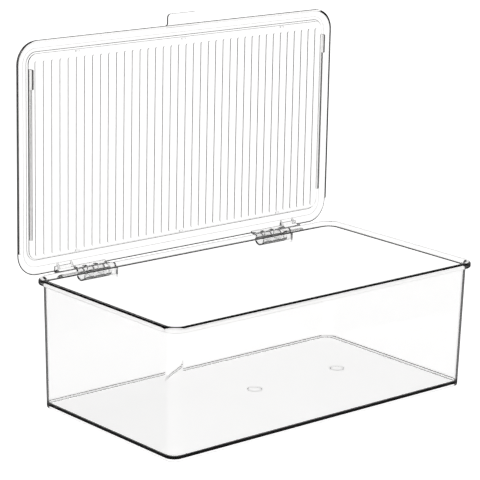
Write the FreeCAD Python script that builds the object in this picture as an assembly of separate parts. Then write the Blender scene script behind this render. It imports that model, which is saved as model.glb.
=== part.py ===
"""Stackable clear storage bin with a hinged, ribbed lid, standing open.

Frame: millimetres, +Z up, +X along the long side, front of the bin towards -Y.
The origin is on the floor under the middle of the bin's base.
The lid and its hinge leaves are built closed, then swung open about the hinge pins.
"""
import FreeCAD, Part
import math
import os

V = FreeCAD.Vector

# ---- driving dimensions (mm) ----
rim_length = 350.0            # bin rim, outside, along X
rim_width = 194.0             # bin rim, outside, along Y
bin_height = 116.2
rim_depth = 4.8               # height of the rim's outer face
rim_overhang = 4.5            # rim stands out this far past the wall
wall = 2.0
wall_taper = 2.1              # each wall leans in this much from rim to base
rim_corner = 15.0
base_corner_step = 1.0        # the walls' corners are this much tighter at the base
rim_outer_round = 2.0
rim_inner_round = 3.0         # leads the closing lid into the opening
rim_lower_round = 1.0
base_round = 1.2
foot_height = 2.0             # the floor is raised on a ring-shaped foot
foot_width = 2.6
floor_thickness = 2.5
floor_fillet = 1.6
gate_ring_radius = 6.8        # moulding rings under the floor
gate_ring_width = 1.2
gate_ring_height = 0.8
gate_ring_x = (3.0, 103.0)
gate_ring_y = 6.8

lid_length = 358.4
lid_width = 205.9
lid_corner = 20.0
lid_plate = 2.2
lid_gap = 0.3                 # closed lid above the rim
lid_setback = 1.1             # from the hinge axis to the lid's rear edge
skirt_depth = 4.4             # from the lid's top face
skirt_wall = 2.0
skirt_start = 21.7            # the skirt leaves the hinge side clear
ridge_inset = 7.0             # stacking ridge, outer edge
ridge_height = 0.6
recess_depth = 1.0            # the base of the next bin sits in this recess
stack_clearance = 0.7         # between a stacked base and the recess wall
panel_drop = 1.0              # panel stands below the plate's underside
panel_clearance = 0.5         # panel and fences inside the bin's opening
rib_count = 38
rib_pitch = 8.66
rib_width = 2.8
rib_height = 0.7
rib_rear = 17.5               # ribs start this far from the lid's rear edge
rib_front = 18.0
fence_height = 2.8            # side locating fences, below the panel
fence_wall = 2.0
fence_rear = 32.7
lug_length = 17.0
lug_height = 5.2
lug_front = 24.0              # lug end to the lid's front edge
nub_length = 4.0              # small centring nubs on the panel
nub_width = 1.2
nub_height = 0.8
nub_x = 117.0
tab_width = 33.8
tab_reach = 10.2
tab_corner = 3.5
tab_flare = 1.8               # hollow round where the tab meets the lid
tab_inset = 0.1               # the tab is thinner than the plate by this much on each face
tab_round = 0.9
edge_round = 0.5              # small mouldings: ribs, fences, pin heads
lid_edge_round = 1.8
skirt_round = 0.95
panel_round = 0.95
ridge_round = 0.3
recess_round = 0.8

hinge_y = 105.65
hinge_z = 111.2
pin_radius = 1.25
pin_head_radius = 2.1
pin_head_length = 0.9
pin_clearance = 0.05
bracket_near = 85.5           # the bracket's two ends, from the middle of the bin
bracket_far = 121.5
cheek_thickness = 2.0
rib_offsets = (11.5, 23.0)    # centres of the two inner ribs, from the bracket's left end
cheek_nose = 2.4
trough_length = 29.5          # from the left end; a gap stays before the right cheek
trough_y = 99.6               # centre of the trough's round bottom
trough_z = 109.6
trough_radius = 6.2
trough_wall = 1.4
trough_lip = 26.0             # degrees below level where the trough's rear lip ends
end_cheek_rear = 104.4        # upright rear edge of the right-hand cheek
end_cheek_bottom = 102.8
end_cheek_slope = 1.2         # its rear edge leaves the nose this far below it
cement_line = 0.08            # solvent cement between the bin or lid and its hinge parts
back_plate = 1.6
back_plate_bottom = 106.0
side_gap = 0.4                # between the leaf's barrels and the bracket
barrel_radius = 2.9
web_rear_angle = 71.0         # where a finger's web meets its barrel, degrees round from +Y
web_front_angle = 165.0
knuckle_radius = 4.2
knuckle_far = 141.0
leaf_near = 86.0
leaf_overhang = 0.8           # the leaf's webs pass the lid's rear edge by this much
flange_thickness = 1.6
flange_height = 4.9           # beside the knuckle
low_flange_height = 2.4       # behind the fingers
gusset_x = (123.0, 137.5)
gusset_thickness = 1.8
gusset_reach = 5.8
gusset_depth = 4.6

# ---- modelling allowances (mm) ----
overlap = 0.3                 # joined shapes run this far into each other
past = 20.0                   # cutting shapes run this far past what they cut

# ---- worked-out dimensions ----
rim_bottom = bin_height - rim_depth
wall_corner = rim_corner - rim_overhang
base_corner = wall_corner - base_corner_step
mouth_corner = wall_corner - wall
floor_top = foot_height + floor_thickness
base_inset = rim_overhang + wall_taper
base_length = rim_length - 2 * base_inset
base_width = rim_width - 2 * base_inset
opening_length = rim_length - 2 * (rim_overhang + wall)
opening_width = rim_width - 2 * (rim_overhang + wall)
bracket_root = opening_width / 2     # bracket shapes start here and are then cut to fit the bin
lid_under = bin_height + lid_gap
lid_top = lid_under + lid_plate
lid_rear = hinge_y - lid_setback
lid_front = lid_rear - lid_width
lid_mid = (lid_rear + lid_front) / 2
recess_length = base_length + 2 * stack_clearance
recess_width = base_width + 2 * stack_clearance
panel_under = lid_under - panel_drop
panel_length = opening_length - 2 * panel_clearance
panel_width = opening_width - 2 * panel_clearance
rib_floor = panel_under - rib_height
leaf_top = lid_under - cement_line


# ---- shape helpers ----
def rounded_wire(length, width, radius, z, y_mid=0.0):
    """Closed outline of a rectangle with round corners, centred on X = 0."""
    a, b = length / 2 - radius, width / 2 - radius
    edges = []
    corners = ((a, b, 0), (-a, b, 90), (-a, -b, 180), (a, -b, 270))
    ends = []
    for x, y, start in corners:
        points = []
        for turn in (start, start + 45, start + 90):
            t = math.radians(turn)
            points.append(V(x + radius * math.cos(t), y_mid + y + radius * math.sin(t), z))
        edges.append(Part.Arc(*points).toShape())
        ends.append((points[0], points[2]))
    for i in range(4):
        edges.insert(2 * i + 1, Part.LineSegment(ends[i][1], ends[(i + 1) % 4][0]).toShape())
    return Part.Wire(edges)


def slab(length, width, radius, z0, z1, y_mid=0.0):
    face = Part.Face(rounded_wire(length, width, radius, z0, y_mid))
    return face.extrude(V(0, 0, z1 - z0))


def tapered(bottom, top):
    """Solid between two rounded outlines, each (length, width, radius, z)."""
    return Part.makeLoft([rounded_wire(*bottom), rounded_wire(*top)], True, True)


def block(x0, x1, y0, y1, z0, z1):
    return Part.makeBox(x1 - x0, y1 - y0, z1 - z0, V(x0, y0, z0))


def along_x(x0, x1, y, z, radius):
    return Part.makeCylinder(radius, x1 - x0, V(x0, y, z), V(1, 0, 0))


def plate_yz(points, x0, x1):
    """Plate with a straight-sided outline in the YZ plane, from x0 to x1."""
    corners = [V(x0, y, z) for y, z in points]
    return Part.Face(Part.makePolygon(corners + corners[:1])).extrude(V(x1 - x0, 0, 0))


def sorted_pair(side, near, far):
    """Two X positions on one side of the middle, lowest first."""
    return tuple(sorted((side * near, side * far)))


def edges_at(shape, z, tolerance=0.01):
    """Edges that lie wholly at one height."""
    found = []
    for edge in shape.Edges:
        box = edge.BoundBox
        if abs(box.ZMin - z) < tolerance and abs(box.ZMax - z) < tolerance:
            found.append(edge)
    return found


def edges_within(edges, length, width, margin=0.1):
    """The edges that stay inside a rectangle centred on the origin."""
    found = []
    for edge in edges:
        box = edge.BoundBox
        x, y = max(-box.XMin, box.XMax), max(-box.YMin, box.YMax)
        if x < length / 2 + margin and y < width / 2 + margin:
            found.append(edge)
    return found


def join(shapes):
    whole = shapes[0].multiFuse(shapes[1:])
    return whole.removeSplitter()


def opened(shape):
    """Swing a shape built closed to the open, upright position."""
    turned = shape.copy()
    turned.rotate(V(0, hinge_y, hinge_z), V(1, 0, 0), -90)
    return turned


def mirrored(shape):
    return shape.mirror(V(0, 0, 0), V(1, 0, 0))


def export(shape, name):
    solids = shape.Solids
    body = solids[0] if len(solids) == 1 else Part.makeCompound(solids)
    body.exportStep("parts/" + name + ".step")
    print(name, len(solids), "solid(s)", round(body.Volume / 1000, 2), "cm3", body.isValid())


# ---- bin ----
def bin_outside():
    base = (base_length, base_width, base_corner, 0)
    wall_top = (rim_length - 2 * rim_overhang, rim_width - 2 * rim_overhang, wall_corner, rim_bottom)
    shell = tapered(base, wall_top)
    shell = shell.makeFillet(base_round, edges_at(shell, 0))
    rim = slab(rim_length, rim_width, rim_corner, rim_bottom, bin_height)
    rim = rim.makeFillet(rim_outer_round, edges_at(rim, bin_height))
    rim = rim.makeFillet(rim_lower_round, edges_at(rim, rim_bottom))
    return join([shell, rim])


def bin_cavity():
    bottom = (base_length - 2 * wall, base_width - 2 * wall, base_corner - wall, floor_top)
    mouth = (opening_length, opening_width, mouth_corner, bin_height)
    cavity = tapered(bottom, mouth)
    cavity = cavity.makeFillet(floor_fillet, edges_at(cavity, floor_top))
    above = slab(opening_length, opening_width, mouth_corner, bin_height, bin_height + past)
    return join([cavity, above])


def gate_rings():
    rings = []
    for x in gate_ring_x:
        foot = V(x, gate_ring_y, foot_height - gate_ring_height)
        height = gate_ring_height + overlap
        outer = Part.makeCylinder(gate_ring_radius, height, foot)
        inner = Part.makeCylinder(gate_ring_radius - gate_ring_width, height, foot)
        ring = outer.cut(inner)
        rings.append(ring.makeFillet(edge_round, edges_at(ring, foot.z)))
    return rings


def make_bin():
    body = bin_outside().cut(bin_cavity())
    mouth = edges_within(edges_at(body, bin_height), opening_length, opening_width)
    body = body.makeFillet(rim_inner_round, mouth)
    hollow = slab(base_length - 2 * foot_width, base_width - 2 * foot_width,
                  base_corner - foot_width, -past, foot_height)
    body = body.cut(hollow)
    return join([body] + gate_rings())


# ---- lid, built closed ----
def lid_plate_solid():
    plate = slab(lid_length, lid_width, lid_corner, lid_under, lid_top, lid_mid)
    plate = plate.makeFillet(lid_edge_round, edges_at(plate, lid_top))
    panel = slab(panel_length, panel_width, mouth_corner, panel_under, lid_under + overlap)
    panel = panel.makeFillet(panel_round, edges_at(panel, panel_under))
    return join([plate, panel])


def lid_skirt():
    bottom = lid_top - skirt_depth
    outer = slab(lid_length, lid_width, lid_corner, bottom, lid_under + overlap, lid_mid)
    inner = slab(lid_length - 2 * skirt_wall, lid_width - 2 * skirt_wall, lid_corner - skirt_wall,
                 bottom - past, lid_top, lid_mid)
    rear = block(-lid_length, lid_length, lid_rear - skirt_start, lid_rear + past,
                 bottom - past, lid_top)
    skirt = outer.cut(inner).cut(rear)
    return skirt.makeFillet(skirt_round, edges_at(skirt, bottom))


def stacking_recess(bottom, top):
    """The hollow in the lid's top face that takes the base of the next bin."""
    return slab(recess_length, recess_width, base_corner + stack_clearance, bottom, top)


def stacking_ridge():
    """Raised ring round the recess."""
    top = lid_top + ridge_height
    bottom = lid_top - recess_depth
    outer = slab(lid_length - 2 * ridge_inset, lid_width - 2 * ridge_inset,
                 lid_corner - ridge_inset, bottom, top, lid_mid)
    outer = outer.makeFillet(ridge_round, edges_at(outer, top))
    ring = outer.cut(stacking_recess(bottom - past, top + past))
    lip = edges_within(edges_at(ring, top), recess_length, recess_width)
    return ring.makeFillet(recess_round, lip)


def lid_rib(x):
    """One long rib with round ends and rounded edges on the underside of the panel."""
    radius = rib_width / 2
    y0 = lid_front + rib_front + radius
    y1 = lid_rear - rib_rear - radius
    height = rib_height + overlap
    bar = block(x - radius, x + radius, y0, y1, rib_floor, rib_floor + height)
    ends = [Part.makeCylinder(radius, height, V(x, y, rib_floor)) for y in (y0, y1)]
    rib = join([bar] + ends)
    return rib.makeFillet(edge_round, edges_at(rib, rib_floor))


def lid_fence(side):
    """Side fence that drops inside the bin's opening, with a taller lug at its front end."""
    outer = side * panel_length / 2
    inner = outer - side * fence_wall
    x0, x1 = min(outer, inner), max(outer, inner)
    lug_y0 = lid_front + lug_front
    lug_y1 = lug_y0 + lug_length
    fence_foot = panel_under - fence_height
    fence = block(x0, x1, lug_y0, lid_rear - fence_rear, fence_foot, panel_under + overlap)
    fence = fence.makeFillet(edge_round, edges_at(fence, fence_foot))
    lug_foot = panel_under - lug_height
    lug = block(x0, x1, lug_y0, lug_y1, lug_foot, panel_under + overlap)
    lug = lug.makeFillet(edge_round, edges_at(lug, lug_foot))
    return join([fence, lug])


def lid_nubs():
    """Centring nubs along the panel's front and rear edges."""
    reach = (panel_width - nub_width) / 2 - panel_round
    nubs = []
    for x in (-nub_x, 0.0, nub_x):
        for y in (-reach, reach):
            nubs.append(block(x - nub_length / 2, x + nub_length / 2, y - nub_width / 2, y + nub_width / 2,
                              panel_under - nub_height, panel_under + overlap))
    return nubs


def corner_arc(x, y, radius, start, z):
    """Quarter turn about (x, y) from the start angle; a negative radius turns clockwise."""
    step = 45 if radius > 0 else -45
    points = []
    for i in range(3):
        t = math.radians(start + i * step)
        points.append(V(x + abs(radius) * math.cos(t), y + abs(radius) * math.sin(t), z))
    return points


def lid_tab():
    """Finger tab on the front edge, flared at its root."""
    bottom = lid_under + tab_inset
    top = lid_top - tab_inset
    half = tab_width / 2
    reach = lid_front - tab_reach
    root = lid_front + lid_edge_round
    arcs = [corner_arc(-half - tab_flare, lid_front - tab_flare, -tab_flare, 90, bottom),
            corner_arc(-half + tab_corner, reach + tab_corner, tab_corner, 180, bottom),
            corner_arc(half - tab_corner, reach + tab_corner, tab_corner, 270, bottom),
            corner_arc(half + tab_flare, lid_front - tab_flare, -tab_flare, 180, bottom)]
    start = V(-half - tab_flare, root, bottom)
    end = V(half + tab_flare, root, bottom)
    edges = []
    last = start
    for arc in arcs:
        edges.append(Part.LineSegment(last, arc[0]).toShape())
        edges.append(Part.Arc(*arc).toShape())
        last = arc[2]
    edges.append(Part.LineSegment(last, end).toShape())
    edges.append(Part.LineSegment(end, start).toShape())
    tab = Part.Face(Part.Wire(edges)).extrude(V(0, 0, top - bottom))
    outer = [e for z in (bottom, top) for e in edges_at(tab, z) if e.BoundBox.YMin < root - overlap]
    return tab.makeFillet(tab_round, outer)


def make_lid():
    pieces = [lid_plate_solid(), lid_skirt(), stacking_ridge(), lid_tab()]
    pieces += [lid_fence(-1), lid_fence(1)] + lid_nubs()
    body = join(pieces).cut(stacking_recess(lid_top - recess_depth, lid_top + past))
    first = -rib_pitch * (rib_count - 1) / 2
    ribs = [lid_rib(first + i * rib_pitch) for i in range(rib_count)]
    return opened(join([body] + ribs))


# ---- hinges: both brackets are the same moulding, the leaves are left and right hand ----
def cheek(x0, x1):
    """Flat arm from the bin's wall to the hinge pin, following the trough underneath."""
    top = hinge_z + cheek_nose
    lip = math.radians(-trough_lip)
    lip_y = trough_y + trough_radius * math.cos(lip)
    lip_z = trough_z + trough_radius * math.sin(lip)
    nose = along_x(x0, x1, hinge_y, hinge_z, cheek_nose)
    belly = along_x(x0, x1, trough_y, trough_z, trough_radius)
    rear = block(x0 - past, x1 + past, lip_y, lip_y + past, trough_z - past, trough_z + past)
    arm = plate_yz([(bracket_root, top), (hinge_y, top), (hinge_y + cheek_nose, hinge_z),
                    (lip_y, lip_z), (trough_y, trough_z - trough_radius + overlap),
                    (bracket_root, trough_z)], x0, x1)
    above = block(x0 - past, x1 + past, bracket_root - past, lip_y + past, top, top + past)
    return join([nose, belly.cut(rear).cut(above), arm])


def end_cheek(x0, x1):
    """Right-hand arm with an upright rear edge below the pin."""
    top = hinge_z + cheek_nose
    nose = along_x(x0, x1, hinge_y, hinge_z, cheek_nose)
    under = hinge_z - cheek_nose
    arm = plate_yz([(bracket_root, top), (hinge_y, top), (hinge_y, under + overlap),
                    (end_cheek_rear, under - end_cheek_slope), (end_cheek_rear, end_cheek_bottom),
                    (bracket_root, end_cheek_bottom)], x0, x1)
    return join([nose, arm])


def trough(x0, x1):
    """Round-bottomed sheet under the barrels, open above the pin."""
    outer = along_x(x0, x1, trough_y, trough_z, trough_radius)
    inner = along_x(x0 - past, x1 + past, trough_y, trough_z, trough_radius - trough_wall)
    lip_z = trough_z - trough_radius * math.sin(math.radians(trough_lip))
    above = block(x0 - past, x1 + past, trough_y, trough_y + past, lip_z, trough_z + past)
    front_above = block(x0 - past, x1 + past, trough_y - past, trough_y + overlap,
                        trough_z, trough_z + past)
    return outer.cut(inner).cut(above).cut(front_above)


def make_bracket(x0, bin_body):
    """One bracket, its left end at x0, cut to lie against the bin's wall and rim."""
    x1 = x0 + bracket_far - bracket_near
    plate_y = rim_width / 2 - rim_overhang + back_plate
    plate = block(x0, x1, bracket_root, plate_y, back_plate_bottom, rim_bottom)
    pieces = [plate, trough(x0, x0 + trough_length), cheek(x0, x0 + cheek_thickness)]
    for offset in rib_offsets:
        pieces.append(cheek(x0 + offset - cheek_thickness / 2, x0 + offset + cheek_thickness / 2))
    pieces.append(end_cheek(x1 - cheek_thickness, x1))
    body = join(pieces).cut(along_x(x0 - past, x1 + past, hinge_y, hinge_z, pin_radius))
    inside = block(x0 - past, x1 + past, 0, bracket_root, 0, bin_height + past)
    seat = bin_body.copy()
    seat.translate(V(0, cement_line, -cement_line))
    body = body.cut(seat).cut(inside)
    return max(body.Solids, key=lambda solid: solid.Volume)


def finger_spans(x0):
    """Stretches between the cheeks and ribs of the bracket that starts at x0, less the side gap."""
    x1 = x0 + bracket_far - bracket_near
    half = cheek_thickness / 2
    starts = [x0 + cheek_thickness] + [x0 + offset + half for offset in rib_offsets]
    ends = [x0 + offset - half for offset in rib_offsets] + [x1 - cheek_thickness]
    return [(a + side_gap, b - side_gap) for a, b in zip(starts, ends)]


def in_barrel(turn):
    """A point just inside the barrel's surface, at an angle round the hinge axis."""
    t = math.radians(turn)
    reach = barrel_radius - overlap / 2
    return hinge_y + reach * math.cos(t), hinge_z + reach * math.sin(t)


def finger(x0, x1):
    """Barrel on the pin with the web that carries it from the flange, built closed."""
    barrel = along_x(x0, x1, hinge_y, hinge_z, barrel_radius)
    web = plate_yz([(lid_rear - flange_thickness, leaf_top), (lid_rear + leaf_overhang, leaf_top),
                    in_barrel(web_rear_angle), (hinge_y, hinge_z), in_barrel(web_front_angle)], x0, x1)
    return [barrel, web]


def gusset(x):
    """Three-cornered stiffener between the flange's upright web and the plate."""
    foot = lid_rear - flange_thickness
    half = gusset_thickness / 2
    return plate_yz([(foot + overlap, leaf_top), (foot - gusset_reach, leaf_top),
                     (foot + overlap, leaf_top - gusset_depth)], x - half, x + half)


def make_leaf(side, bracket_x0):
    """Hinge leaf under the lid's rear edge; side is 1 for the right-hand one."""
    x0, x1 = sorted_pair(side, leaf_near, knuckle_far)
    k0, k1 = sorted_pair(side, bracket_far + side_gap, knuckle_far)
    leaf_under = leaf_top - flange_thickness
    flange = block(k0, k1, lid_rear - flange_height, lid_rear, leaf_under, leaf_top)
    low_flange = block(x0, x1, lid_rear - low_flange_height, lid_rear, leaf_under, leaf_top)
    knuckle = along_x(k0, k1, hinge_y, hinge_z, knuckle_radius)
    web = block(k0, k1, lid_rear - flange_thickness, lid_rear + leaf_overhang, hinge_z, leaf_top)
    pieces = [flange, low_flange, knuckle, web]
    for a, b in finger_spans(bracket_x0):
        pieces += finger(a, b)
    pieces += [gusset(side * x) for x in gusset_x]
    bore = along_x(x0 - past, x1 + past, hinge_y, hinge_z, pin_radius + pin_clearance)
    return opened(join(pieces).cut(bore))


def make_pin():
    """Right-hand pin, pressed in the bracket's cheeks, with its head past the knuckle."""
    head_x = knuckle_far + side_gap
    shank = along_x(bracket_near, head_x, hinge_y, hinge_z, pin_radius)
    head = along_x(head_x, head_x + pin_head_length, hinge_y, hinge_z, pin_head_radius)
    end = [e for e in head.Edges if e.BoundBox.XMin > head_x + pin_head_length / 2]
    head = head.makeFillet(edge_round, end)
    return join([shank, head])


def main():
    os.makedirs("parts", exist_ok=True)
    bin_body = make_bin()
    export(bin_body, "bin")
    export(make_lid(), "lid")
    pin = make_pin()
    export(pin, "hinge_pin_right")
    export(mirrored(pin), "hinge_pin_left")
    for side, name, x0 in ((1, "right", bracket_near), (-1, "left", -bracket_far)):
        export(make_bracket(x0, bin_body), "hinge_bracket_" + name)
        export(make_leaf(side, x0), "lid_hinge_leaf_" + name)


main()
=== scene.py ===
"""Looks for a clear, hinged-lid storage bin: polished polystyrene on a backlit white sheet."""
import math
import bpy
from mathutils import Matrix, Vector

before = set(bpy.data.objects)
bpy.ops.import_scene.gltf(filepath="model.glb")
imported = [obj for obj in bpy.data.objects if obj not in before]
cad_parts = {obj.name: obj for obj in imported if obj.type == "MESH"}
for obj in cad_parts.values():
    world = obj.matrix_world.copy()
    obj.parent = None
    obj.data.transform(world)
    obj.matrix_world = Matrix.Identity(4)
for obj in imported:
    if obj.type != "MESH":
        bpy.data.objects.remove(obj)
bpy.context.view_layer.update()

MM = 0.001

# ---- moulded plastic ----
POLYSTYRENE_IOR = 1.57
RIPPLE_SIZE = 55 * MM         # spacing of the slow waves left where the walls shrank
HANDLING_SIZE = 18 * MM       # spacing of the patches that are a little less polished
HAZE_SPREAD = 0.4             # roughness varies by this share of the haze, either way
ABSORPTION_TINT = "#b9b4b0"   # faintly warm grey

# ---- studio light ----
# The sheet and the tent look dimmer to a ray that has been mirrored, or turned back inside the
# plastic, than to one that comes straight through. That stands in for dark cards round the set, which
# aren't modelled.
SHEET_SIZE = 8.0              # m
SHEET_GLOW = 1.1
SHEET_GLOW_MIRRORED = 0.1
TENT_GLOW_MIRRORED = 0.3
TENT_WHITE_TOP = 0.36         # height of the view direction, 0 level and 1 straight up
TENT_DARK_BOTTOM = 0.50
TENT_DARK = (0.03, 0.03, 0.03, 1)

# ---- camera ----
CAMERA_TURN = math.radians(40.762)
CAMERA_TILT = math.radians(14.662)
CAMERA_ROLL = math.radians(1.198)
CAMERA_LENS = 162.3           # mm
CAMERA_TARGET = Vector((-0.02302, 0, 0.14628))
CAMERA_DISTANCE = 1.87528


# ---- small helpers ----
def colour(hex_code):
    """An sRGB hex colour as linear RGBA."""
    parts = [int(hex_code[i:i + 2], 16) / 255 for i in (1, 3, 5)]
    linear = [p / 12.92 if p <= 0.04045 else ((p + 0.055) / 1.055) ** 2.4 for p in parts]
    return (*linear, 1.0)


def add(tree, kind, settings=None, links=None, **values):
    """Adds a node: its settings by attribute name, its values and links by input name."""
    node = tree.nodes.new("ShaderNode" + kind)
    for key, value in (settings or {}).items():
        setattr(node, key, value)
    for key, value in values.items():
        node.inputs[key.replace("_", " ")].default_value = value
    for key, source in (links or {}).items():
        tree.links.new(source, node.inputs[key])
    return node


def new_material(name):
    material = bpy.data.materials.new(name)
    material.use_nodes = True
    material.node_tree.nodes.clear()
    return material


# ---- materials ----
def clear_polystyrene(name, haze, density, ripple_depth):
    """Injection-moulded polystyrene from a polished tool: glass-clear, with a faint slow ripple where
    the walls shrank unevenly. Light that runs a long way inside it comes out darker, so edges go grey."""
    material = new_material(name)
    tree = material.node_tree
    place = add(tree, "TexCoord").outputs["Object"]
    ripple = add(tree, "TexNoise", links={"Vector": place}, Scale=1 / RIPPLE_SIZE, Detail=1.0)
    bump = add(tree, "Bump", links={"Height": ripple.outputs["Fac"]}, Strength=1.0, Distance=ripple_depth)
    handled = add(tree, "TexNoise", links={"Vector": place}, Scale=1 / HANDLING_SIZE, Detail=4.0)
    rough = add(tree, "MapRange", links={"Value": handled.outputs["Fac"]},
                To_Min=haze * (1 - HAZE_SPREAD), To_Max=haze * (1 + HAZE_SPREAD))
    plastic = add(tree, "BsdfPrincipled",
                  links={"Normal": bump.outputs["Normal"], "Roughness": rough.outputs["Result"]},
                  Base_Color=colour("#ffffff"), IOR=POLYSTYRENE_IOR, Transmission_Weight=1.0)
    inside = add(tree, "VolumeAbsorption", Color=colour(ABSORPTION_TINT), Density=density)
    add(tree, "OutputMaterial", links={"Surface": plastic.outputs[0], "Volume": inside.outputs[0]})
    return material


def dress(node, material):
    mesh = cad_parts[node].data
    mesh.materials.clear()
    mesh.materials.append(material)


def dress_all():
    """Haze, absorption per metre and ripple depth, each set to suit its moulding."""
    body = clear_polystyrene("clear moulded polystyrene, bin", 0.005, 20.0, 0.05 * MM)
    lid = clear_polystyrene("clear moulded polystyrene, lid", 0.005, 60.0, 0.001 * MM)
    hinge = clear_polystyrene("clear moulded polystyrene, hinge", 0.01, 4.0, 0.02 * MM)
    dress("bin", body)
    dress("lid", lid)
    for side in ("left", "right"):
        for part in ("hinge_bracket_", "lid_hinge_leaf_", "hinge_pin_"):
            dress(part + side, hinge)


# ---- studio ----
def floor():
    """White acrylic sheet lit from below."""
    bpy.ops.mesh.primitive_plane_add(size=SHEET_SIZE, location=(0, 0, 0))
    sheet = bpy.context.object
    sheet.name = "studio_floor"
    material = new_material("backlit white acrylic sheet")
    tree = material.node_tree
    mirrored = add(tree, "LightPath").outputs["Glossy Depth"]
    glow = add(tree, "MapRange", links={"Value": mirrored}, To_Min=SHEET_GLOW, To_Max=SHEET_GLOW_MIRRORED)
    skin = add(tree, "BsdfPrincipled", links={"Emission Strength": glow.outputs["Result"]},
               Base_Color=colour("#f4f4f4"), Roughness=0.9, Emission_Color=colour("#ffffff"))
    add(tree, "OutputMaterial", links={"Surface": skin.outputs[0]})
    sheet.data.materials.append(material)


def tent_strength(tree):
    """Full strength, or dimmed for a mirrored ray that has passed through little plastic."""
    path = add(tree, "LightPath").outputs
    mirrored = add(tree, "Math", {"operation": "GREATER_THAN"}, {"Value": path["Glossy Depth"]})
    shallow = add(tree, "MapRange", links={"Value": path["Transmission Depth"]},
                  From_Min=2.0, From_Max=3.0, To_Min=1.0, To_Max=0.0)
    dimmed = add(tree, "Math", {"operation": "MULTIPLY"}, {"Value": mirrored.outputs[0]})
    tree.links.new(shallow.outputs["Result"], dimmed.inputs[1])
    return add(tree, "MapRange", links={"Value": dimmed.outputs[0]}, To_Min=1.0, To_Max=TENT_GLOW_MIRRORED)


def light_tent():
    """White round the horizon, darker overhead, so that polished edges pick up a grey line."""
    world = bpy.data.worlds.new("light tent")
    bpy.context.scene.world = world
    world.use_nodes = True
    tree = world.node_tree
    tree.nodes.clear()
    way = add(tree, "TexCoord").outputs["Generated"]
    height = add(tree, "SeparateXYZ", links={"Vector": way}).outputs["Z"]
    ramp = add(tree, "ValToRGB", links={"Fac": height})
    white, dark = ramp.color_ramp.elements
    white.position = TENT_WHITE_TOP
    white.color = (1, 1, 1, 1)
    dark.position = TENT_DARK_BOTTOM
    dark.color = TENT_DARK
    strength = tent_strength(tree).outputs["Result"]
    tent = add(tree, "Background", links={"Color": ramp.outputs["Color"], "Strength": strength})
    add(tree, "OutputWorld", links={"Surface": tent.outputs[0]})


def camera():
    """Long lens from the front left, a little above the rim."""
    level = math.cos(CAMERA_TILT)
    back = Vector((-math.sin(CAMERA_TURN) * level, -math.cos(CAMERA_TURN) * level, math.sin(CAMERA_TILT)))
    side = Vector((math.cos(CAMERA_TURN), -math.sin(CAMERA_TURN), 0))
    head = back.cross(side)
    right = side * math.cos(CAMERA_ROLL) + head * math.sin(CAMERA_ROLL)
    up = head * math.cos(CAMERA_ROLL) - side * math.sin(CAMERA_ROLL)
    data = bpy.data.cameras.new("camera")
    data.lens = CAMERA_LENS
    eye = bpy.data.objects.new("camera", data)
    bpy.context.scene.collection.objects.link(eye)
    facing = Matrix((right, up, back)).transposed().to_4x4()
    eye.matrix_world = Matrix.Translation(CAMERA_TARGET + back * CAMERA_DISTANCE) @ facing
    bpy.context.scene.camera = eye


dress_all()
floor()
light_tent()
camera()
bpy.context.scene.view_settings.view_transform = "Standard"
